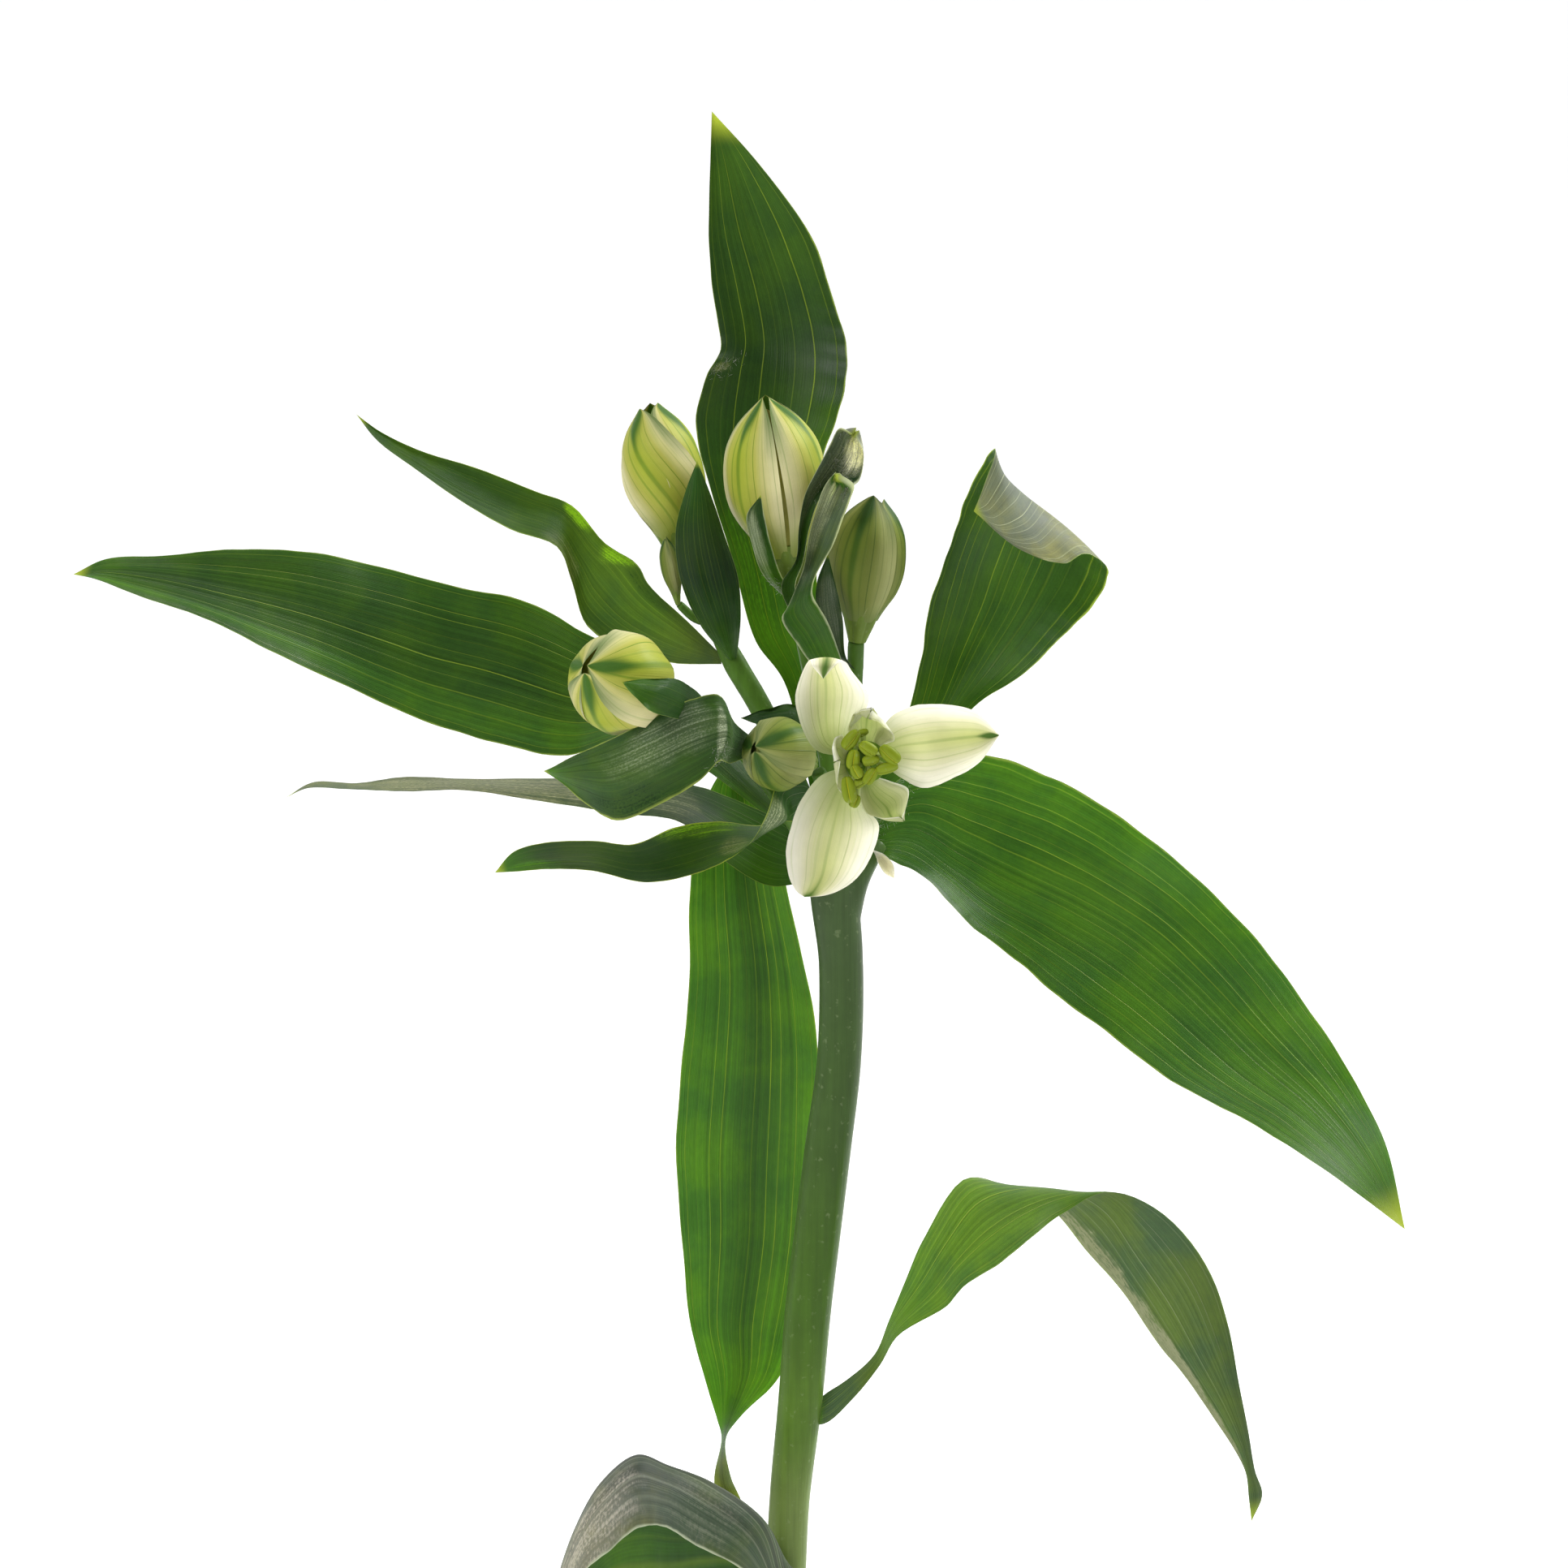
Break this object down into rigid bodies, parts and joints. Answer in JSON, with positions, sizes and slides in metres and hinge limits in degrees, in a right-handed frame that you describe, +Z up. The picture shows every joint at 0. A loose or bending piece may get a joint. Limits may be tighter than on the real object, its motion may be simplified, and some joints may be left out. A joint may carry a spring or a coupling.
{
  "type": "potted peruvian lily",
  "caption": "Potted peruvian lily: a leafy upright stem with long pointed leaves, striped cream buds and an open flower, standing in soil in a plain terracotta pot.",
  "frame": {"origin": "centre of the pot's flat base, on the surface that it stands on", "axes": "+Z up along the pot's axis, -Y towards the viewer that the open flower faces, +X to that viewer's right"},
  "size_m": [0.2325, 0.134, 0.4508],
  "materials": {
    "terracotta": "matte",
    "soil": "matte",
    "stem": "satin",
    "leaf": "satin",
    "bract": "matte",
    "bud": "satin",
    "tepal": "satin",
    "inner_tepal": "satin",
    "stamen": "matte"
  },
  "bodies": {
    "root": {"pot": "terracotta", "soil": "soil", "stem": "stem", "bud_upper_left": "bud", "bud_upper_left_slim": "bud", "bud_upper_middle": "bud", "bud_upper_right": "bud", "bud_left": "bud", "bud_small": "bud", "stamens": "stamen", "leaf_right": "leaf", "leaf_top": "leaf", "leaf_left": "leaf", "leaf_upper_right": "leaf", "leaf_narrow_left": "leaf", "leaf_lower_left": "leaf", "leaf_stem_tall": "leaf", "leaf_stem_right": "leaf", "leaf_stem_left": "leaf", "leaf_low_back": "leaf", "leaf_low_front": "leaf", "leaf_low_right": "leaf", "bract_upper_left": "bract", "bract_upper_left_bud": "bract", "bract_left_folded": "bract", "bract_left_bud": "bract", "bract_small_bud": "bract", "bract_middle_small": "bract", "bract_middle_front": "bract", "bract_middle_back": "bract", "bract_right_dark": "bract", "tepal_outer_top": "tepal", "tepal_outer_right": "tepal", "tepal_outer_lower": "tepal", "tepal_inner_top": "inner_tepal", "tepal_inner_left": "inner_tepal", "tepal_inner_lower": "inner_tepal"}
  },
  "joints": []
}
